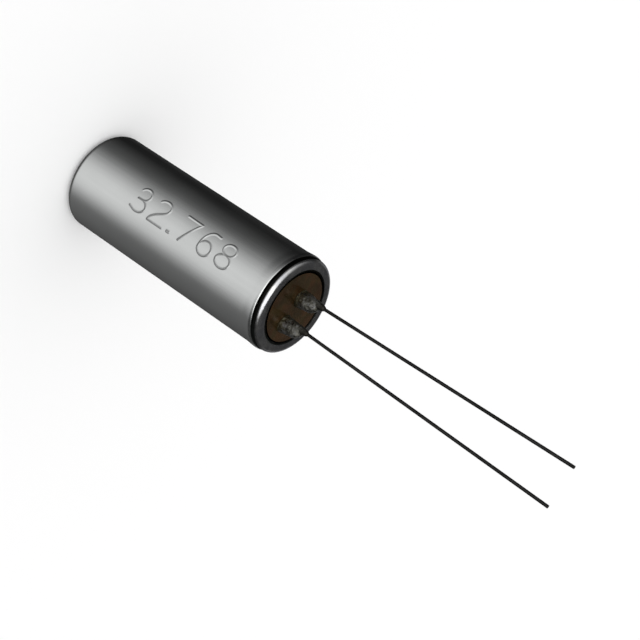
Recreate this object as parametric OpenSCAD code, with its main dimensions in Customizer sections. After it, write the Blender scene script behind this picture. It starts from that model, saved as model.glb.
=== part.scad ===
// Tuning-fork quartz crystal in a cylindrical metal can, with two leads.
// It stands on the can's closed end: z = 0 is that flat end, +Z runs along the can to the leads,
// and the leads lie side by side along X.

/* [Can] */
// Outer diameter of the can
can_d = 3.1; // [2.6:0.1:4]
// Length of the body, from the closed end to the front of the header's lip
body_l = 8.3; // [6.9:0.1:12]
// Thickness of the can's drawn wall
can_wall = 0.18; // [0.12:0.01:0.25]
// Thickness of the can's closed end
can_end_t = 0.2; // [0.12:0.01:0.4]
// Outer radius of the corner round the closed end
can_corner_r = 0.25; // [0.15:0.01:0.5]
// How far the can swells outwards at its open edge
swell_h = 0.025; // [0.005:0.005:0.05]
// Length over which the can swells
swell_l = 0.45; // [0.2:0.05:0.8]
// Rounding of the can's open edge
rim_r = 0.04; // [0.03:0.01:0.1]

/* [Header] */
// Height of the header's lip above the can's edge
lip_h = 0.26; // [0.24:0.01:0.4]
// How far the lip stays inside the can's outer face
lip_inset = 0.02; // [0:0.01:0.04]
// Rounding of the lip's outer shoulder
lip_outer_r = 0.165; // [0.08:0.005:0.18]
// Rounding of the lip's inner edge
lip_inner_r = 0.05; // [0.02:0.005:0.1]
// Rounding of the lip's heel, where it meets the can's edge
lip_heel_r = 0.07; // [0.02:0.005:0.08]
// Wall of the eyelet that is pressed into the can
eyelet_wall = 0.2; // [0.16:0.01:0.3]
// How far the eyelet reaches into the can
eyelet_l = 1.5; // [0.8:0.1:2.5]
// How far the glass lies below the front of the lip
glass_recess = 0.03; // [0:0.005:0.04]
// Width of the fine groove between the glass and the lip
groove_w = 0.045; // [0.02:0.005:0.08]
// Depth of that groove below the glass's face
groove_depth = 0.2; // [0.06:0.01:0.4]
// Rounding of the glass's edge at the groove
glass_edge_r = 0.03; // [0.01:0.005:0.05]

/* [Leads] */
// Diameter of each lead
lead_d = 0.1; // [0.08:0.01:0.2]
// Distance between the leads' centres in the glass
lead_pitch = 0.86; // [0.8:0.02:1.1]
// Length of the leads beyond the front of the lip, along the can's axis
lead_l = 9.7; // [4:0.1:16]
// How far each lead leans outwards, in degrees
lead_splay = 1.2; // [0.2:0.1:4]
// Radius of the bend above the solder
bend_r = 0.5; // [0.3:0.1:2]
// Diameter of the lump of solder at each lead's root
fillet_d = 0.5; // [0.36:0.01:0.6]
// Height of that lump on the glass
lump_h = 0.68; // [0.4:0.02:0.76]
// How far each lump's middle lies to the +X side of its lead
fillet_shift = 0.14; // [0:0.01:0.2]
// Diameter of the solder's collar round the lead, at the glass
collar_d = 0.3; // [0.22:0.01:0.4]
// Height to which the collar climbs the lead
fillet_h = 0.86; // [0.78:0.02:1.2]

/* [Fork] */
// Frequency of the tuning fork, in kHz
fork_khz = 32.768; // [30:0.002:40]
// Width of each tine
tine_w = 0.45; // [0.35:0.01:0.55]
// Width of the slot between the tines
slot_w = 0.25; // [0.15:0.01:0.35]
// Thickness of the quartz
fork_t = 0.2; // [0.1:0.01:0.4]
// Gap between the tines' tips and the can's closed end
tip_gap = 0.6; // [0.3:0.05:0.8]
// Gap between the fork's base and the glass
base_gap = 0.3; // [0.2:0.05:0.5]
// Depth of the two notches that part the fork's foot from its base
notch_depth = 0.16; // [0.05:0.01:0.25]
// Width of those notches
notch_w = 0.14; // [0.08:0.01:0.2]

/* [Inner ends of the leads] */
// Thickness of the flattened end of each lead
pad_t = 0.05; // [0.03:0.005:0.07]
// Length of the flattened end that lies on the fork
pad_l = 0.55; // [0.3:0.05:0.6]
// Radius of the solder over each flattened end
solder_r = 0.13; // [0.12:0.01:0.18]

/* [Hidden] */
$fn = 96;

// Speed of the bending wave in quartz across the tines, in mm/ms, times the clamped bar's constant
// 0.1615: a tine's frequency in kHz is this figure times tine_w / tine_l^2
FORK_CONSTANT = 878.6;

// Radii, from the can inwards
can_r = can_d / 2;
eyelet_r = can_r - can_wall;
glass_r = eyelet_r - eyelet_wall;
lip_r = can_r - lip_inset;

// Heights, from the closed end up
can_l = body_l - lip_h;
swell_z = can_l - swell_l;
eyelet_z = can_l - eyelet_l;
glass_z = body_l - glass_recess;
bend_z = glass_z + fillet_h;
lead_top_z = body_l + lead_l;

// The can's inner corner keeps the wall's thickness, down to a small punch radius
PUNCH_R = 0.05;
inner_corner_r = max(PUNCH_R, can_corner_r - can_wall);

// The fork hangs between the closed end and the glass
fork_z = can_end_t + tip_gap;
foot_z = eyelet_z - base_gap;
tine_l = sqrt(FORK_CONSTANT * tine_w / fork_khz);
fork_w = 2 * tine_w + slot_w;
notch_z = foot_z - pad_l - 2 * notch_w;

// A wire rolled flat keeps its cross-section
pad_w = PI * pow(lead_d / 2, 2) / pad_t;
PAD_SHOULDER = 0.1;
pad_z = foot_z - pad_l;
fork_y = pad_t / 2;
solder_z = foot_z - pad_l / 2;

// What a rounded corner of radius r loses, with the corner at [r, r] and the round's centre at 0
module corner_waste(r) {
    difference() {
        square(r + 1e-3);
        circle(r);
    }
}

// The profile of the can's outside, which swells along half a cosine wave towards the open edge
module can_outline() {
    steps = 8;
    swell = [for (i = [0 : steps])
        [can_r + swell_h * (1 - cos(180 * i / steps)) / 2, swell_z + (swell_l - rim_r) * i / steps]];
    polygon(concat([[0, 0], [can_r, 0]], swell, [[can_r + swell_h, can_l], [0, can_l]]));
}

module can_hollow() {
    difference() {
        translate([0, can_end_t]) square([eyelet_r, can_l]);
        translate([eyelet_r - inner_corner_r, can_end_t + inner_corner_r])
            mirror([0, 1]) corner_waste(inner_corner_r);
    }
}

module can() {
    color("silver") rotate_extrude() difference() {
        can_outline();
        can_hollow();
        translate([can_r - can_corner_r, can_corner_r]) mirror([0, 1]) corner_waste(can_corner_r);
        translate([can_r + swell_h - rim_r, can_l - rim_r]) corner_waste(rim_r);
    }
}

// The eyelet's tube fits the can's bore, and its lip seats on the can's edge
module header_ring() {
    lip_w = lip_r - glass_r;
    color("slategray") rotate_extrude() difference() {
        union() {
            translate([glass_r, eyelet_z]) square([eyelet_r - glass_r, eyelet_l + lip_h / 2]);
            translate([glass_r, can_l]) square([lip_w, lip_h]);
        }
        translate([lip_r - lip_outer_r, body_l - lip_outer_r]) corner_waste(lip_outer_r);
        translate([lip_r - lip_heel_r, can_l + lip_heel_r]) mirror([0, 1]) corner_waste(lip_heel_r);
        translate([glass_r + lip_inner_r, body_l - lip_inner_r])
            mirror([1, 0]) corner_waste(lip_inner_r);
    }
}

// Glass fills the eyelet and closes round both leads. It shrank from the lip as it cooled, which
// left a groove round its face
module glass_seal() {
    face_r = glass_r - groove_w;
    groove_z = glass_z - groove_depth;
    color([0.2, 0.13, 0.07]) difference() {
        rotate_extrude() difference() {
            polygon([
                [0, eyelet_z], [glass_r, eyelet_z], [glass_r, groove_z - groove_w / 2],
                [face_r, groove_z], [face_r, glass_z], [0, glass_z]
            ]);
            translate([face_r - glass_edge_r, glass_z - glass_edge_r]) corner_waste(glass_edge_r);
        }
        for (side = [-1, 1])
            translate([side * lead_pitch / 2, 0, eyelet_z - 1])
                cylinder(d = lead_d, h = glass_z - eyelet_z + 2);
    }
}

// One wire: a flattened pad on the fork, a straight run through the glass, and an outer run that a
// slight bend leans outwards. side = 1 is the lead on +X, and side = -1 its twin half a turn round
module lead(side) {
    shoulder_z = foot_z + PAD_SHOULDER;
    straight_z = shoulder_z - PAD_SHOULDER / 2;
    outer_l = (lead_top_z - bend_z - bend_r * sin(lead_splay)) / cos(lead_splay);
    color("dimgray") rotate([0, 0, 90 * (1 - side)]) translate([lead_pitch / 2, 0, 0]) {
        translate([-pad_w / 2, -pad_t / 2, pad_z]) cube([pad_w, pad_t, shoulder_z - pad_z]);
        translate([0, 0, straight_z]) cylinder(d = lead_d, h = bend_z - straight_z);
        translate([bend_r, 0, bend_z]) {
            rotate([90, 0, 180]) rotate_extrude(angle = lead_splay)
                translate([bend_r, 0]) circle(d = lead_d);
            rotate([0, lead_splay, 0]) translate([-bend_r, 0, 0])
                cylinder(d = lead_d, h = outer_l);
        }
    }
}

// A domed lump of solder beside the lead, and a collar of it that thins out up the lead
module lead_fillet(side) {
    steps = 8;
    lump = [for (i = [0 : steps - 1])
        [fillet_d / 2 * cos(90 * i / steps), lump_h * sin(90 * i / steps)]];
    collar = [for (i = [0 : steps])
        [lead_d / 2 + (collar_d - lead_d) / 2 * cos(90 * i / steps), fillet_h * sin(90 * i / steps)]];
    color("gray") translate([side * lead_pitch / 2, 0, glass_z]) difference() {
        union() {
            translate([fillet_shift, 0, 0])
                rotate_extrude() polygon(concat([[0, 0]], lump, [[0, lump_h]]));
            rotate_extrude() polygon(concat([[0, 0]], collar, [[0, fillet_h]]));
        }
        translate([0, 0, -1]) cylinder(d = lead_d, h = fillet_h + 2);
    }
}

// Two tines on a base, which a pair of notches parts from the foot that is soldered down
module quartz_fork() {
    color("lightblue") translate([0, fork_y, 0]) rotate([90, 0, 0]) mirror([0, 0, 1])
        linear_extrude(fork_t) difference() {
            translate([-fork_w / 2, fork_z]) square([fork_w, foot_z - fork_z]);
            translate([-slot_w / 2, fork_z - 1]) square([slot_w, tine_l + 1 - slot_w / 2]);
            translate([0, fork_z + tine_l - slot_w / 2]) circle(d = slot_w);
            for (side = [-1, 1])
                translate([side * fork_w / 2 - notch_depth, notch_z])
                    square([2 * notch_depth, notch_w]);
        }
}

// Solder heaped over a lead's pad, flat against the fork
module fork_joint(side) {
    color("lightgray") translate([side * lead_pitch / 2, 0, 0]) difference() {
        translate([0, fork_y, solder_z]) {
            straight = pad_l - 2 * solder_r;
            translate([0, 0, -straight / 2]) cylinder(r = solder_r, h = straight);
            for (end = [-1, 1])
                translate([0, 0, end * straight / 2]) sphere(solder_r);
        }
        translate([-1, fork_y, pad_z - 1]) cube([2, 1, pad_l + 2]);
        translate([-pad_w / 2, -pad_t / 2, pad_z]) cube([pad_w, pad_t + 1, pad_l + 1]);
    }
}

can();
header_ring();
glass_seal();
lead(-1);  // lead_a
lead(1);  // lead_b
lead_fillet(-1);  // lead_fillet_a
lead_fillet(1);  // lead_fillet_b
quartz_fork();
fork_joint(-1);  // fork_joint_a
fork_joint(1);  // fork_joint_b
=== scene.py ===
import math

import bmesh
import bpy
import numpy as np
from mathutils import Matrix, Vector, noise


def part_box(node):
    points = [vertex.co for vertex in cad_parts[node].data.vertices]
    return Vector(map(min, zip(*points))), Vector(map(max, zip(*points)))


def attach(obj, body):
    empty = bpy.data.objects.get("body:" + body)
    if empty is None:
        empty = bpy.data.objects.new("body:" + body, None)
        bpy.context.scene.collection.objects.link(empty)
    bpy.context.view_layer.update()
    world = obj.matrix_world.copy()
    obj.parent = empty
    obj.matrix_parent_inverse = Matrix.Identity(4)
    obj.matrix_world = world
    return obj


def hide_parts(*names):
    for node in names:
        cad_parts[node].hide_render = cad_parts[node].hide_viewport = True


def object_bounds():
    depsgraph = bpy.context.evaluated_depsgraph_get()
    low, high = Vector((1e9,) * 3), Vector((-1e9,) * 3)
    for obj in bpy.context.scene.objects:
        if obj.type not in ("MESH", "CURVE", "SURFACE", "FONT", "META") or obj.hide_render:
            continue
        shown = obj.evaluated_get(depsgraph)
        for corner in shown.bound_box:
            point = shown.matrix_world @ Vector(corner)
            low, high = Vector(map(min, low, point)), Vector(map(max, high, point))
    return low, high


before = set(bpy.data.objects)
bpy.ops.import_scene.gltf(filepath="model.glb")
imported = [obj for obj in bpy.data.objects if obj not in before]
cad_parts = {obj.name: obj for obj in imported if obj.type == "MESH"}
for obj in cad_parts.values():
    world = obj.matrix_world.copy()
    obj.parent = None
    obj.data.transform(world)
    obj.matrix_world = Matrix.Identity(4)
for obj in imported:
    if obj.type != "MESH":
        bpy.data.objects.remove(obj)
cad_lo, cad_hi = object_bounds()

MM = 0.001
MICRON = 0.000001
TAU = 2 * math.pi

# Where things are, in millimetres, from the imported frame
CAN_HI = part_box("can")[1] / MM
RING_LO, RING_HI = (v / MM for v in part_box("header_ring"))
GLASS_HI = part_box("glass_seal")[1] / MM
FILLET_A_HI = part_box("lead_fillet_a")[1] / MM
FILLET_B_LO, FILLET_B_HI = (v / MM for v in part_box("lead_fillet_b"))
CAN_TOP = CAN_HI.z
BODY_TOP = RING_HI.z
EYELET_Z = RING_LO.z
RIM_OUTER_R = min(CAN_HI.x, CAN_HI.y)
LIP_R = RING_HI.x
GLASS_R = GLASS_HI.x
GLASS_Z = GLASS_HI.z
LEAD_X = (FILLET_B_HI.x - FILLET_A_HI.x) / 2
LUMP_R = (FILLET_B_HI.y - FILLET_B_LO.y) / 2
LUMP_SHIFT = FILLET_B_HI.x - LUMP_R - LEAD_X
FILLET_TOP = FILLET_B_HI.z

# Sizes that no box gives, in millimetres, with the values of the part's source
CAN_R = 1.55
BORE_R = 1.37
END_T = 0.2
CORNER_R = 0.25
INNER_CORNER_R = 0.07
SWELL_L = 0.45
RIM_R = 0.04
SHOULDER_R = 0.165
HEEL_R = 0.07
INNER_R = 0.05
GROOVE_W = 0.045
GROOVE_DEPTH = 0.2
LEAD_R = 0.05
LUMP_H = 0.68
COLLAR_R = 0.15


# ---------------------------------------------------------------- camera

# The camera that shows the part as the photo does. It aims a little beside the part's middle
AIM = (cad_lo + cad_hi) / 2 + Vector((-0.11, 0.0, 0.19)) * MM
AZIMUTH, ELEVATION, ROLL = 0.0, 30.09, 123.9
DISTANCE = 52.2 * MM
LENS, SENSOR = 103.5, 36
CLIP_START, CLIP_END = 1 * MM, 10
az, el, roll = (math.radians(a) for a in (AZIMUTH, ELEVATION, ROLL))
back = Vector((math.sin(az) * math.cos(el), -math.cos(az) * math.cos(el), math.sin(el)))
level = Vector((math.cos(az), math.sin(az), 0))
upright = back.cross(level)
right = level * math.cos(roll) + upright * math.sin(roll)
up = back.cross(right)
camera_data = bpy.data.cameras.new("camera")
camera_data.lens = LENS
camera_data.sensor_width = SENSOR
camera_data.clip_start = CLIP_START
camera_data.clip_end = CLIP_END
camera = bpy.data.objects.new("camera", camera_data)
bpy.context.scene.collection.objects.link(camera)
turned = Matrix((right, up, back)).transposed().to_4x4()
camera.matrix_world = Matrix.Translation(AIM + back * DISTANCE) @ turned
bpy.context.scene.camera = camera
bpy.context.scene.view_settings.view_transform = "Standard"


# ---------------------------------------------------------------- node helpers

class Nodes:
    """Short names for the nodes that the materials and the world use."""

    def __init__(self, tree):
        self.tree = tree
        tree.nodes.clear()

    def put(self, node, name, v):
        """Set an input, by its name or number: another node's output is linked, anything else is copied."""
        socket = node.inputs[name]
        if isinstance(v, bpy.types.NodeSocket):
            self.tree.links.new(v, socket)
        else:
            socket.default_value = v

    def new(self, kind, **inputs):
        node = self.tree.nodes.new(kind)
        for name, v in inputs.items():
            self.put(node, name.replace("_", " "), v)
        return node

    def math(self, operation, *args):
        node = self.tree.nodes.new("ShaderNodeMath")
        node.operation = operation
        for i, v in enumerate(args):
            self.put(node, i, v)
        return node.outputs[0]

    def add(self, a, b):
        return self.math("ADD", a, b)

    def times(self, a, b):
        return self.math("MULTIPLY", a, b)

    def jitter(self, pattern, size):
        """A noise pattern as a shift of up to half the size either way."""
        return self.times(self.math("SUBTRACT", pattern, 0.5), size)

    def length(self, a, b):
        return self.math("SQRT", self.add(self.times(a, a), self.times(b, b)))

    def smooth(self, v, lo, hi, to_lo=0.0, to_hi=1.0):
        """Ease from to_lo to to_hi while v goes from lo to hi."""
        node = self.tree.nodes.new("ShaderNodeMapRange")
        node.interpolation_type = "SMOOTHSTEP"
        for i, x in enumerate((v, lo, hi, to_lo, to_hi)):
            self.put(node, i, x)
        return node.outputs[0]

    def smooth_mm(self, v, lo, hi, to_lo=0.0, to_hi=1.0):
        """The same for a place or a length, with lo and hi in millimetres."""
        return self.smooth(v, lo * MM, hi * MM, to_lo, to_hi)

    def vary(self, pattern, lo, hi):
        """A value from lo to hi by a noise pattern, which mostly lies between 0.3 and 0.7."""
        return self.smooth(pattern, 0.3, 0.7, lo, hi)

    def mix(self, share, a, b):
        """Colour b over colour a, by its share. A plain number stands for a grey."""
        node = self.tree.nodes.new("ShaderNodeMix")
        node.data_type = "RGBA"
        self.put(node, 0, share)
        for i, v in ((6, a), (7, b)):
            if isinstance(v, float):
                v = (v, v, v)
            self.put(node, i, (*v, 1) if isinstance(v, tuple) else v)
        return node.outputs[2]

    def ramp(self, v, *stops):
        """A colour that runs evenly from stop to stop. Each stop is a value and a colour."""
        node = self.tree.nodes.new("ShaderNodeValToRGB")
        elements = node.color_ramp.elements
        while len(elements) < len(stops):
            elements.new(0.5)
        for i, (position, colour) in enumerate(stops):
            elements[i].position = position
            elements[i].color = (*colour, 1)
        self.put(node, 0, v)
        return node.outputs[0]

    def place(self):
        """The x, y and z of the shaded point on its piece, in metres."""
        coordinates = self.new("ShaderNodeTexCoord").outputs["Object"]
        return self.new("ShaderNodeSeparateXYZ", Vector=coordinates).outputs

    def noise(self, waves, detail=2.0, rough=0.5, distortion=0.0):
        """Noise with so many waves in a metre: one number, or one for each axis."""
        if not isinstance(waves, tuple):
            waves = (waves, waves, waves)
        coordinates = self.new("ShaderNodeTexCoord").outputs["Object"]
        scaled = self.new("ShaderNodeMapping", Vector=coordinates, Scale=waves).outputs[0]
        return self.new("ShaderNodeTexNoise", Vector=scaled, Scale=1.0, Detail=detail,
                        Roughness=rough, Distortion=distortion).outputs[0]

    def bump(self, height, microns):
        return self.new("ShaderNodeBump", Height=height, Strength=1.0, Distance=microns * MICRON).outputs[0]


def material(name, **inputs):
    """A material, its nodes and its shader."""
    mat = bpy.data.materials.new(name)
    mat.use_nodes = True
    n = Nodes(mat.node_tree)
    shader = n.new("ShaderNodeBsdfPrincipled", **inputs)
    n.new("ShaderNodeOutputMaterial", Surface=shader.outputs[0])
    return mat, n, shader


# ---------------------------------------------------------------- studio

# The camera and plain surfaces see white. Gloss sees panels of light, placed by the way the ray goes:
# its turn round the part, counted from -Y towards +X, and its height above the horizon, in degrees.
BACKDROP_LIGHT = 1.04
GROUND_LIGHT, TOP_LIGHT = 0.10, 0.09

world = bpy.data.worlds.new("studio")
bpy.context.scene.world = world
world.use_nodes = True
w = Nodes(world.node_tree)
direction = w.new("ShaderNodeTexCoord").outputs["Generated"]
east, north, rise = w.new("ShaderNodeSeparateXYZ", Vector=direction).outputs
azimuth = w.math("ARCTAN2", east, w.times(north, -1.0))
turn = w.add(w.math("DIVIDE", azimuth, TAU), 0.5)
height = w.math("DEGREES", w.math("ARCSINE", rise))


def over_turn(start, end, first, last):
    """Ease from first to last while the turn goes from start to end, in degrees."""
    return w.smooth(turn, (start + 180) / 360, (end + 180) / 360, first, last)


def panel(start, full, fade, end, light):
    """A soft light over part of the round: it grows from start to full and fades from fade to end."""
    return w.times(over_turn(start, full, 0.0, light), over_turn(fade, end, 1.0, 0.0))


# Low down: a key light at the front, a wide weak one that reaches round the +X side, and a dim back
key = panel(-70, 10, 26, 84, 0.74)
wide = panel(-130, 0, 40, 230, 0.2)
dim_back = over_turn(-180, -110, 0.035, 0.005)
low = w.add(key, w.add(wide, dim_back))
# Near the horizon: a panel in front and one behind
front = panel(-95, 0, 5, 75, 0.85)
behind = w.add(over_turn(-180, -125, 0.8, 0.05), over_turn(130, 180, 0.0, 0.75))
mid = w.add(front, behind)
# From the ground up, each light blends into the next
up_to_low = w.mix(w.smooth(height, -73.0, -46.0), GROUND_LIGHT, low)
up_to_mid = w.mix(w.smooth(height, -29.0, -19.0), up_to_low, mid)
up_to_top = w.mix(w.smooth(height, 4.0, 20.0), up_to_mid, TOP_LIGHT)
# A softbox high up: it starts behind the -X side and is brightest between -Y and +X
softbox = panel(-130, 30, 35, 80, 2.8)
softbox_height = w.times(w.smooth(height, 6.0, 24.0), w.smooth(height, 78.0, 96.0, 1.0, 0.0))
seen_in_gloss = w.add(up_to_top, w.times(softbox, softbox_height))
backdrop = w.new("ShaderNodeBackground", Color=(1.0, 1.0, 1.0, 1), Strength=BACKDROP_LIGHT)
panels = w.new("ShaderNodeBackground", Color=seen_in_gloss, Strength=1.0)
by_ray = w.new("ShaderNodeMixShader", Fac=w.new("ShaderNodeLightPath").outputs["Is Glossy Ray"])
w.put(by_ray, 1, backdrop.outputs[0])
w.put(by_ray, 2, panels.outputs[0])
w.new("ShaderNodeOutputWorld", Surface=by_ray.outputs[0])

FLOOR_R = 1.2
FLOOR_SIDES = 96
bm = bmesh.new()
bmesh.ops.create_circle(bm, cap_ends=True, segments=FLOOR_SIDES, radius=FLOOR_R)
mesh = bpy.data.meshes.new("floor")
bm.to_mesh(mesh)
bm.free()
floor = bpy.data.objects.new("floor", mesh)
bpy.context.scene.collection.objects.link(floor)
floor_mat, _, _ = material("floor", Base_Color=(0.97, 0.97, 0.97, 1), Roughness=1.0, Specular_IOR_Level=0.0)
floor.data.materials.append(floor_mat)
floor.visible_glossy = False


# ---------------------------------------------------------------- digits

def arc(cx, cy, rx, ry, a0, a1, points=28):
    """Points along part of an ellipse, from angle a0 to a1 in degrees."""
    t = np.radians(np.linspace(a0, a1, points))
    return [(cx + rx * math.cos(a), cy + ry * math.sin(a)) for a in t]


def bezier(p0, p1, p2, p3, points=20):
    """Points along a curve from p0 to p3 that p1 and p2 pull on."""
    t = np.linspace(0, 1, points)[:, None]
    p0, p1, p2, p3 = (np.array(p, float) for p in (p0, p1, p2, p3))
    pts = (1 - t) ** 3 * p0 + 3 * (1 - t) ** 2 * t * p1 + 3 * (1 - t) * t ** 2 * p2 + t ** 3 * p3
    return [tuple(p) for p in pts]


# Each figure's strokes, in millimetres from the left foot of its place
FIGURES = {
    "3": [[*arc(0.31, 0.6, 0.22, 0.2, 152, -90), (0.16, 0.395)],
          [*arc(0.29, 0.2, 0.28, 0.2, 88, -115), (0.015, 0.075)]],
    "2": [[*arc(0.33, 0.6, 0.25, 0.205, 148, -20),
           *bezier((0.565, 0.53), (0.52, 0.36), (0.06, 0.3), (0.015, 0.0))[1:],
           (0.62, 0.0)]],
    ".": [[(0.05, 0.015), (0.14, 0.015), (0.14, 0.05), (0.05, 0.05)]],
    "7": [[(0.0, 0.8), (0.59, 0.79), (0.14, 0.0)]],
    "6": [[(0.56, 0.785), *arc(0.39, 0.27, 0.335, 0.53, 90, 180)],
          arc(0.3, 0.225, 0.245, 0.225, 180, 540, 56)],
    "8": [arc(0.29, 0.6, 0.232, 0.19, -90, 270, 48),
          arc(0.265, 0.205, 0.268, 0.205, 90, 450, 52)],
}
TEXT = "32.768"
DIGIT_COUNT = len(TEXT.replace(".", ""))
PITCH, DOT_PITCH = 0.795, 0.4
# Where the text starts along the can, and its foot round the can. The figures are squashed a little
TEXT_Z = 2.5
TEXT_V = -0.262
FIGURE_H = 0.8
SQUASH = 0.94
STROKE_R = 0.047
STROKE_H = 0.015
# The strokes lean: their flanks are steeper towards +X and +Z than on the other sides
LEAN_Z, LEAN_V = 0.12, 0.2
# Painted shade darkens the strokes this far from a stroke's middle, and thins out between these two heights
# of the figures
STROKE_SHADE_R = 0.038
STROKE_SHADE_LO, STROKE_SHADE_HI = 0.36, 0.62


def strokes():
    """Every stroke's segments, along the can (z) and round it (v), in millimetres."""
    z, found = TEXT_Z, []
    for c in TEXT:
        for line in FIGURES[c]:
            pts = [(z + x, TEXT_V + SQUASH * y) for x, y in line]
            found += list(zip(pts, pts[1:]))
        z += DOT_PITCH if c == "." else PITCH
    return np.array(found)


def to_strokes(z, v):
    """How far each point is from the nearest stroke, by a measure that leans."""
    nearest = np.full(z.shape, np.inf)
    for (ax, ay), (bx, by) in strokes():
        dx, dy = bx - ax, by - ay
        t = np.clip(((z - ax) * dx + (v - ay) * dy) / (dx * dx + dy * dy), 0, 1)
        off_z, off_v = z - ax - t * dx, v - ay - t * dy
        nearest = np.minimum(nearest, np.hypot(off_z, off_v) + LEAN_Z * off_z - LEAN_V * off_v)
    return nearest


def raised(nearest):
    """How far a stroke stands up: a narrow ridge between a tent and a wave."""
    t = np.minimum(nearest / STROKE_R, 1)
    return STROKE_H * (0.5 * (1 - t) + 0.25 * (1 + np.cos(np.pi * t)))


def eased(x):
    """A smooth step from 0 to 1."""
    x = np.clip(x, 0, 1)
    return x * x * (3 - 2 * x)


def stroke_shading(nearest, v):
    """How much painted shade darkens the strokes: most on the figures' lower halves."""
    above_foot = (v - TEXT_V) / SQUASH
    return eased(1 - nearest / STROKE_SHADE_R) * eased((STROKE_SHADE_HI - above_foot) / (STROKE_SHADE_HI - STROKE_SHADE_LO))


# ---------------------------------------------------------------- meshes

def new_piece(name, verts, faces, mat, slot, *nodes):
    """A smooth-shaded piece that stands for its CAD nodes. Its vertices are given in millimetres."""
    mesh = bpy.data.meshes.new(name)
    mesh.from_pydata([tuple(c * MM for c in p) for p in verts], [], faces)
    mesh.validate()
    bm = bmesh.new()
    bm.from_mesh(mesh)
    bmesh.ops.recalc_face_normals(bm, faces=bm.faces)
    bm.to_mesh(mesh)
    bm.free()
    mesh.polygons.foreach_set("use_smooth", [True] * len(mesh.polygons))
    mesh.materials.append(mat)
    piece = bpy.data.objects.new(name, mesh)
    bpy.context.scene.collection.objects.link(piece)
    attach(piece, "root")
    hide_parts(*nodes)
    return piece


def round_corner(cx, cz, r, a0, a1, points):
    """Points of a profile's rounded corner, as (radius, height)."""
    return [(cx + r * math.cos(math.radians(a)), cz + r * math.sin(math.radians(a)))
            for a in np.linspace(a0, a1, points)]


def band(lower, upper, count):
    """Four-sided faces between two rings of vertices."""
    faces = []
    for j in range(count):
        k = (j + 1) % count
        faces.append([lower[j], lower[k], upper[k], upper[j]])
    return faces


def revolve(profile, angles):
    """A profile turned round the axis, and its rows of vertices. A point on the axis is one vertex."""
    verts, faces, rows = [], [], []
    for r, z in profile:
        if r == 0:
            rows.append([len(verts)] * len(angles))
            verts.append((0.0, 0.0, z))
        else:
            rows.append(list(range(len(verts), len(verts) + len(angles))))
            verts += [(r * math.cos(a), r * math.sin(a), z) for a in angles]
    for lower, upper in zip(rows, rows[1:]):
        for face in band(lower, upper, len(angles)):
            corners = [v for i, v in enumerate(face) if v != face[i - 1]]
            if len(corners) > 2:
                faces.append(corners)
    return verts, faces, rows


def painted_crevice_shade(n, x):
    """Painted shade for crevices and grooves: almost black, and a little paler on the +X side."""
    return n.mix(n.smooth_mm(x, 0.7, 1.4), (0.010, 0.010, 0.009), (0.036, 0.040, 0.037))


# ---- can
can_mat, n, shader = material("can_metal", Metallic=1.0)
lines = n.noise((9000, 9000, 160), 3.0, 0.6)
cloud = n.noise((700, 700, 500), 4.0, 0.55)
grain = n.noise(26000)
x, y, z = n.place()
plate = n.ramp(cloud, (0.3, (0.600, 0.611, 0.606)), (0.7, (0.652, 0.664, 0.659)))
# Painted shade: the strokes on the figures' lower halves are darkened in the colour
painted_stroke_shade = n.new("ShaderNodeAttribute")
painted_stroke_shade.attribute_name = "painted_stroke_shade"
painted_stroke_shade_share = n.times(painted_stroke_shade.outputs["Fac"], n.vary(grain, 0.55, 0.8))
plate = n.mix(painted_stroke_shade_share, plate, (0.125, 0.127, 0.126))
# The rolled edge is painted darker on the -X side: painted shade where its highlight fades
painted_rim_shade = n.times(n.smooth_mm(z, CAN_TOP - 0.16, CAN_TOP - 0.07), n.smooth_mm(x, -0.2, -1.0, 0.0, 0.85))
plate = n.mix(painted_rim_shade, plate, (0.085, 0.086, 0.087))
# The cut edge beside the ring is painted almost black, with an uneven border: painted shade in the crevice
# by the ring
ragged_z = n.add(z, n.jitter(n.noise(2600, 3.0), 20 * MICRON))
crevice_shade = n.smooth_mm(ragged_z, CAN_TOP - 0.024, CAN_TOP - 0.010)
satin = n.vary(n.add(n.times(lines, 0.6), n.times(cloud, 0.4)), 0.20, 0.27)
n.put(shader, "Base Color", n.mix(crevice_shade, plate, painted_crevice_shade(n, x)))
n.put(shader, "Roughness", n.add(satin, n.times(crevice_shade, 0.3)))
n.put(shader, "Normal", n.bump(n.add(lines, n.times(grain, 0.5)), 1.2))

# Where the digits are, the columns and rows of the can's side are FINE apart.
# v runs round the can from -Y towards -X
FINE = 0.0085
V_MARGIN, Z_MARGIN = 0.08, 0.09
# The end of the last figure's place, which is empty
EMPTY = 0.17
OTHER_COLUMNS = 150
V_LO, V_HI = TEXT_V - V_MARGIN, TEXT_V + SQUASH * FIGURE_H + V_MARGIN
Z_LO, Z_HI = TEXT_Z - Z_MARGIN, TEXT_Z + DIGIT_COUNT * PITCH + DOT_PITCH - EMPTY
fine_v = np.linspace(V_LO, V_HI, round((V_HI - V_LO) / FINE) + 1)
fine_z = np.linspace(Z_LO, Z_HI, round((Z_HI - Z_LO) / FINE) + 1)
text_angles = -math.pi / 2 - fine_v / CAN_R
other_turn = TAU - (fine_v[-1] - fine_v[0]) / CAN_R
other_angles = text_angles[-1] - other_turn * np.arange(1, OTHER_COLUMNS) / OTHER_COLUMNS
angles = np.concatenate([text_angles, other_angles])

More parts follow.
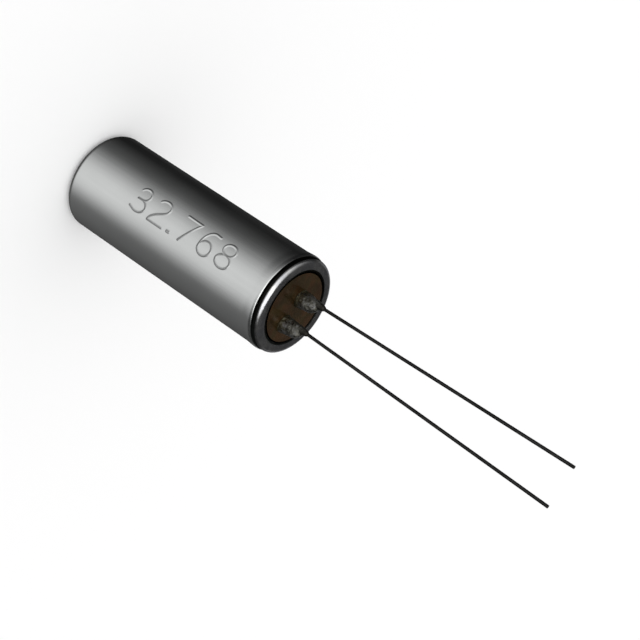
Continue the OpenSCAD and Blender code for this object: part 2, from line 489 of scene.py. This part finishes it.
# The open edge rolls in gently, and its corner takes over where the roll leans ROLL_A degrees
ROLL_R, ROLL_A = 0.2, 26
SWELL_STEPS = 14
lean = math.radians(ROLL_A)
roll_z = CAN_TOP - RIM_R * (1 - math.sin(lean)) - ROLL_R * math.sin(lean)
corner_r = RIM_OUTER_R - ROLL_R * (1 - math.cos(lean)) - RIM_R * math.cos(lean)
swell = [(CAN_R + (RIM_OUTER_R - CAN_R) * (1 - math.cos(math.pi * i / SWELL_STEPS)) / 2,
          CAN_TOP - SWELL_L + (roll_z - CAN_TOP + SWELL_L) * i / SWELL_STEPS)
         for i in range(SWELL_STEPS + 1)]

# Rows that only keep the faces short: radii on the ends and the rim, heights on the side and in the bore
BASE_ROWS_R, RIM_ROW_R, INNER_END_ROW_R = (0, 0.5, 0.9, 1.2), 1.44, 0.8
LOWER_ROWS_Z, UPPER_ROWS_Z, BORE_ROWS_Z = (0.3, 1.0), (7.2, 7.5), (7.0, 4.0, 0.6)
below = [*((r, 0) for r in BASE_ROWS_R),
         *round_corner(CAN_R - CORNER_R, CORNER_R, CORNER_R, -90, 0, 14),
         *((CAN_R, z) for z in (*LOWER_ROWS_Z, Z_LO))]
above = [*((CAN_R, z) for z in (Z_HI, *UPPER_ROWS_Z)),
         *swell,
         *round_corner(RIM_OUTER_R - ROLL_R, roll_z, ROLL_R, 0, ROLL_A, 10)[1:],
         *round_corner(corner_r, CAN_TOP - RIM_R, RIM_R, ROLL_A, 90, 7)[1:],
         (RIM_ROW_R, CAN_TOP),
         *((BORE_R, z) for z in (CAN_TOP, *BORE_ROWS_Z)),
         *round_corner(BORE_R - INNER_CORNER_R, END_T + INNER_CORNER_R, INNER_CORNER_R, 0, -90, 6),
         (INNER_END_ROW_R, END_T), (0, END_T)]
verts, faces, rows = revolve(below + above, angles)

# The tall faces behind the digits, and one on either side, make room for the fine grid
text_columns = len(fine_v)
lo_row, hi_row = rows[len(below) - 1], rows[len(below)]
tall = band(lo_row, hi_row, len(angles))
drop = {frozenset(tall[j]) for j in [*range(text_columns), len(angles) - 1]}
faces = [face for face in faces if frozenset(face) not in drop]
vv, zz = np.meshgrid(fine_v, fine_z[1:-1])
nearest = to_strokes(zz, vv)
rr = CAN_R + raised(nearest)
aa = np.broadcast_to(text_angles, vv.shape)
grid_start = len(verts)
verts += list(zip((rr * np.cos(aa)).ravel(), (rr * np.sin(aa)).ravel(), zz.ravel()))
grid_rows = np.arange(grid_start, len(verts)).reshape(vv.shape).tolist()
grid = [lo_row[:text_columns], *grid_rows, hi_row[:text_columns]]
for lower, upper in zip(grid, grid[1:]):
    faces += band(lower, upper, text_columns)[:-1]
first_column = [row[0] for row in grid]
last_column = [row[-1] for row in grid]
faces.append([lo_row[-1], *first_column, hi_row[-1]])
faces.append([*last_column[::-1], lo_row[text_columns], hi_row[text_columns]])
can = new_piece("can_shell", verts, faces, can_mat, "can_metal", "can")
# The painted shade on the strokes, kept on the can's vertices
painted_stroke_shade_amount = np.zeros(len(can.data.vertices), np.float32)
painted_stroke_shade_amount[grid_start:] = stroke_shading(nearest, vv).ravel()
can.data.attributes.new("painted_stroke_shade", "FLOAT", "POINT").data.foreach_set("value", painted_stroke_shade_amount)

# ---- header ring
ring_mat, n, shader = material("ring_metal", Metallic=1.0, Specular_Tint=(0.3, 0.3, 0.32, 1.0))
spots = n.noise(6500, 3.0, 0.6)
tint = n.noise(2600, 4.0, 0.55, 0.4)
x, y, z = n.place()
# Bare metal ends in the crevice beside the can and near the groove, where painted shade covers it; the
# painted shade reaches further at -Y
above_crevice = n.smooth_mm(z, CAN_TOP + 0.13, CAN_TOP + 0.155)
shade_reach = n.smooth_mm(y, 1.0, -1.0, -10 * MICRON, 45 * MICRON)
r_less_reach = n.math("SUBTRACT", n.length(x, y), shade_reach)
unshaded_metal = n.times(above_crevice, n.smooth_mm(r_less_reach, GLASS_R + 0.03, GLASS_R + 0.06))
metal = n.ramp(tint, (0.35, (0.36, 0.362, 0.378)), (0.65, (0.475, 0.473, 0.462)))
gloss = n.smooth(spots, 0.35, 0.65, 0.10, 0.20)
# Painted shade: almost black in the crevice and at the groove's edge
n.put(shader, "Base Color", n.mix(unshaded_metal, painted_crevice_shade(n, x), metal))
n.put(shader, "Roughness", n.add(gloss, n.smooth(unshaded_metal, 0.0, 1.0, 0.35, 0.0)))
n.put(shader, "Normal", n.bump(n.add(spots, n.times(tint, 1.4)), 4.2))

# Rows that only keep the faces short, in the eyelet
EYELET_ROW_Z, THROAT_ROW_Z = 7.4, 8.05
RING_COLUMNS = 256
ring_angles = TAU * np.arange(RING_COLUMNS) / RING_COLUMNS
ring_profile = [(GLASS_R, EYELET_Z), (GLASS_R, EYELET_ROW_Z), (GLASS_R, THROAT_ROW_Z),
                *round_corner(GLASS_R + INNER_R, BODY_TOP - INNER_R, INNER_R, 180, 90, 9),
                *round_corner(LIP_R - SHOULDER_R, BODY_TOP - SHOULDER_R, SHOULDER_R, 90, 0, 16),
                *round_corner(LIP_R - HEEL_R, CAN_TOP + HEEL_R, HEEL_R, 0, -90, 10),
                (BORE_R, CAN_TOP), (BORE_R, EYELET_ROW_Z), (BORE_R, EYELET_Z)]
verts, faces, rows = revolve(ring_profile, ring_angles)
faces += band(rows[-1], rows[0], RING_COLUMNS)
new_piece("ring_bead", verts, faces, ring_mat, "header_metal", "header_ring")

# ---- glass seal
# The edge of the glass's face is sharper than in the CAD
EDGE_R = 0.004
# The groove's floor slopes down this much towards the ring
GROOVE_FALL = 0.02
# Rows that only keep the faces short, on the glass's outer face and on its inner one
FACE_ROWS_R, INNER_FACE_ROW_R = (0, 0.3, 0.6, 0.9), 0.7
face_r = GLASS_R - GROOVE_W
groove_z = GLASS_Z - GROOVE_DEPTH
glass_mat, n, shader = material("seal_glass", IOR=1.52, Specular_IOR_Level=1.0,
                                Specular_Tint=(1.0, 0.6, 0.32, 1.0))
swirl = n.noise(1500, 4.0, 0.6, 0.8)
hue = n.noise(2300, 3.0, 0.5, 0.4)
fine = n.noise(4200, 3.0, 0.6)
x, y, z = n.place()
red = n.ramp(swirl, (0.32, (0.016, 0.0075, 0.0025)), (0.68, (0.036, 0.0165, 0.0055)))
olive = n.ramp(swirl, (0.32, (0.011, 0.0078, 0.0026)), (0.68, (0.026, 0.0175, 0.0055)))
brown = n.mix(n.smooth(hue, 0.40, 0.60), red, olive)
# Painted shade covers the glass in the groove round it, up to the edge of its face: a near-black metallic
# colour
groove_shade = n.smooth_mm(n.length(x, y), face_r - 0.008, face_r - 0.002)
n.put(shader, "Base Color", n.mix(groove_shade, brown, (0.004, 0.0035, 0.003)))
n.put(shader, "Metallic", groove_shade)
n.put(shader, "Roughness", n.vary(fine, 0.12, 0.22))
n.put(shader, "Normal", n.bump(n.add(swirl, n.times(fine, 0.25)), 3.0))
glass_profile = [*((r, GLASS_Z) for r in FACE_ROWS_R),
                 *round_corner(face_r - EDGE_R, GLASS_Z - EDGE_R, EDGE_R, 90, 0, 8),
                 (face_r, groove_z), (GLASS_R, groove_z - GROOVE_FALL), (GLASS_R, EYELET_ROW_Z),
                 (GLASS_R, EYELET_Z), (INNER_FACE_ROW_R, EYELET_Z), (0, EYELET_Z)]
verts, faces, _ = revolve(glass_profile, ring_angles)
new_piece("glass_bead", verts, faces, glass_mat, "seal_glass", "glass_seal")

# ---- solder fillets
fillet_mat, n, shader = material("fillet_solder", Metallic=0.78)
clots = n.noise((5600, 5600, 4200), 4.0, 0.62, 0.4)
fine = n.noise((17000, 17000, 12000), 3.0, 0.6)
pit_shade_spots = n.noise((9500, 9500, 7000), 2.0, 0.5, 0.8)
x, y, z = n.place()
mottle = n.add(n.times(clots, 0.72), n.times(fine, 0.28))
solder = n.ramp(mottle, (0.36, (0.022, 0.021, 0.016)), (0.46, (0.058, 0.056, 0.046)),
                (0.56, (0.092, 0.091, 0.086)), (0.68, (0.155, 0.157, 0.164)))
flux = n.ramp(mottle, (0.35, (0.026, 0.022, 0.010)), (0.62, (0.085, 0.078, 0.045)))
# Flux lies near the glass, with an uneven border, and the solder close to the wire is painted dark: painted
# shade that carries on the wire's dark line
bare = n.smooth_mm(n.add(z, n.jitter(clots, 600 * MICRON)), GLASS_Z + 0.02, GLASS_Z + 0.26)
# Painted shade: dark spots stand for the shade in pits that the surface doesn't have
skin = n.mix(n.smooth(pit_shade_spots, 0.60, 0.68), n.mix(bare, flux, solder), (0.010, 0.009, 0.007))
beside = n.math("SUBTRACT", n.math("ABSOLUTE", x), LEAD_X * MM)
from_wire = n.add(n.length(beside, y), n.jitter(fine, 60 * MICRON))
n.put(shader, "Base Color", n.mix(n.smooth_mm(from_wire, 0.085, 0.15), (0.017, 0.016, 0.013), skin))
n.put(shader, "Roughness", n.vary(fine, 0.30, 0.55))
n.put(shader, "Normal", n.bump(n.add(clots, n.times(fine, 0.35)), 8.0))

FILLET_ROWS, FILLET_COLUMNS = 84, 120
# How sharply the lump and the collar meet
SHARPNESS = 34.0
# The middle moves from the lump's to the wire's over this stretch above the glass
MOVE_FROM, MOVE_OVER = 0.12, LUMP_H - 0.14
# The solder's foot spreads a little on the glass
FOOT_W, FOOT_H = 0.018, 0.03
# Roughness as (depth, waves in a millimetre). It fades near the glass and where the collar is thin
ROUGH = ((0.11, 5.5), (0.06, 14), (0.025, 34))
SMOOTH_FOOT_H = 0.05
THIN, LEAST_ROUGH = 0.12, 0.12
# How far apart in the noise the two fillets take their roughness
SEED = 7.3
# The solder never comes closer to the wire's middle than this many wire radii
CLEAR_OF_WIRE = 1.02


def ray_out(ox, cx, a, r):
    """Distance from (ox, 0) in direction a to the far side of a circle round (cx, 0), or -1 for a miss."""
    gap = ox - cx
    along = gap * math.cos(a)
    inside = r * r - gap * gap + along * along
    return math.sqrt(inside) - along if inside > 0 else -1.0


def fillet(name, side, node):
    """A lump of solder beside the wire, which flows into a collar that climbs it."""
    h = FILLET_TOP - GLASS_Z
    wire_x = side * LEAD_X
    seed = Vector((SEED * side, 0.0, 0.0))
    verts, faces = [(wire_x + LUMP_SHIFT, 0.0, GLASS_Z)], []
    for i in range(FILLET_ROWS):
        z = h * math.sin(math.pi / 2 * i / (FILLET_ROWS - 1))
        lump_r = LUMP_R * math.sqrt(max(0.0, 1 - (z / LUMP_H) ** 2))
        collar_r = LEAD_R + (COLLAR_R - LEAD_R) * math.sqrt(max(0.0, 1 - (z / h) ** 2))
        t = min(1, max(0, (z - MOVE_FROM) / MOVE_OVER))
        centre = LUMP_SHIFT * (1 - t * t * (3 - 2 * t))
        foot = FOOT_W * math.exp(-z / FOOT_H)
        for j in range(FILLET_COLUMNS):
            a = TAU * j / FILLET_COLUMNS
            lump = ray_out(centre, LUMP_SHIFT, a, lump_r) if lump_r > 0 else -1.0
            collar = ray_out(centre, 0.0, a, collar_r)
            r = math.log(math.exp(SHARPNESS * lump) + math.exp(SHARPNESS * collar)) / SHARPNESS
            spot = Vector((centre + r * math.cos(a), r * math.sin(a), z))
            rough = sum(depth * noise.noise(spot * waves + seed) for depth, waves in ROUGH)
            thick = min(1, max(LEAST_ROUGH, (r - LEAD_R) / THIN))
            r = r * (1 + rough * thick * min(1, z / SMOOTH_FOOT_H)) + foot
            r = max(LEAD_R * CLEAR_OF_WIRE, r)
            verts.append((wire_x + centre + r * math.cos(a), r * math.sin(a), GLASS_Z + z))
    rows = np.arange(1, len(verts)).reshape(FILLET_ROWS, FILLET_COLUMNS).tolist()
    for j in range(FILLET_COLUMNS):
        faces.append([0, rows[0][(j + 1) % FILLET_COLUMNS], rows[0][j]])
    for lower, upper in zip(rows, rows[1:]):
        faces += band(lower, upper, FILLET_COLUMNS)
    tip = len(verts)
    verts.append((wire_x, 0.0, GLASS_Z + h))
    for j in range(FILLET_COLUMNS):
        faces.append([rows[-1][j], rows[-1][(j + 1) % FILLET_COLUMNS], tip])
    return new_piece(name, verts, faces, fillet_mat, "fillet_solder", node)


fillet("fillet_lump_a", -1, "lead_fillet_a")
fillet("fillet_lump_b", 1, "lead_fillet_b")

# ---- leads, fork and joints keep their CAD shapes
lead_mat, n, shader = material("lead_wire", Metallic=1.0)
drawn = n.noise((30000, 30000, 900), 3.0, 0.6)
stain = n.noise((2600, 2600, 1100), 3.0, 0.6)
# Painted shade: the wires are coloured near black, standing for a lead's shaded side
n.put(shader, "Base Color", n.ramp(stain, (0.3, (0.020, 0.0195, 0.019)), (0.7, (0.045, 0.044, 0.043))))
n.put(shader, "Roughness", n.vary(drawn, 0.30, 0.48))
n.put(shader, "Normal", n.bump(drawn, 1.5))

# Clear quartz with gold electrodes
quartz_mat, n, shader = material("fork_quartz", IOR=1.54)
gold = n.smooth(n.noise((2500, 2500, 400)), 0.42, 0.5)
n.put(shader, "Base Color", n.mix(gold, (0.78, 0.80, 0.82), (0.83, 0.60, 0.24)))
n.put(shader, "Metallic", gold)
n.put(shader, "Roughness", n.vary(n.noise(9000, 3.0), 0.18, 0.30))
n.put(shader, "Normal", n.bump(n.noise(12000, 3.0), 0.8))

joint_mat, n, shader = material("inner_solder", Metallic=1.0)
cast = n.noise(6000, 3.0)
n.put(shader, "Base Color", n.ramp(cast, (0.3, (0.55, 0.55, 0.56)), (0.7, (0.72, 0.72, 0.71))))
n.put(shader, "Roughness", n.vary(n.noise(15000, 3.0), 0.24, 0.40))
n.put(shader, "Normal", n.bump(n.noise(9000, 3.0), 4.0))

for name, mat in (("lead_a", lead_mat), ("lead_b", lead_mat), ("quartz_fork", quartz_mat),
                  ("fork_joint_a", joint_mat), ("fork_joint_b", joint_mat)):
    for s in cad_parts[name].material_slots:
        s.material = mat
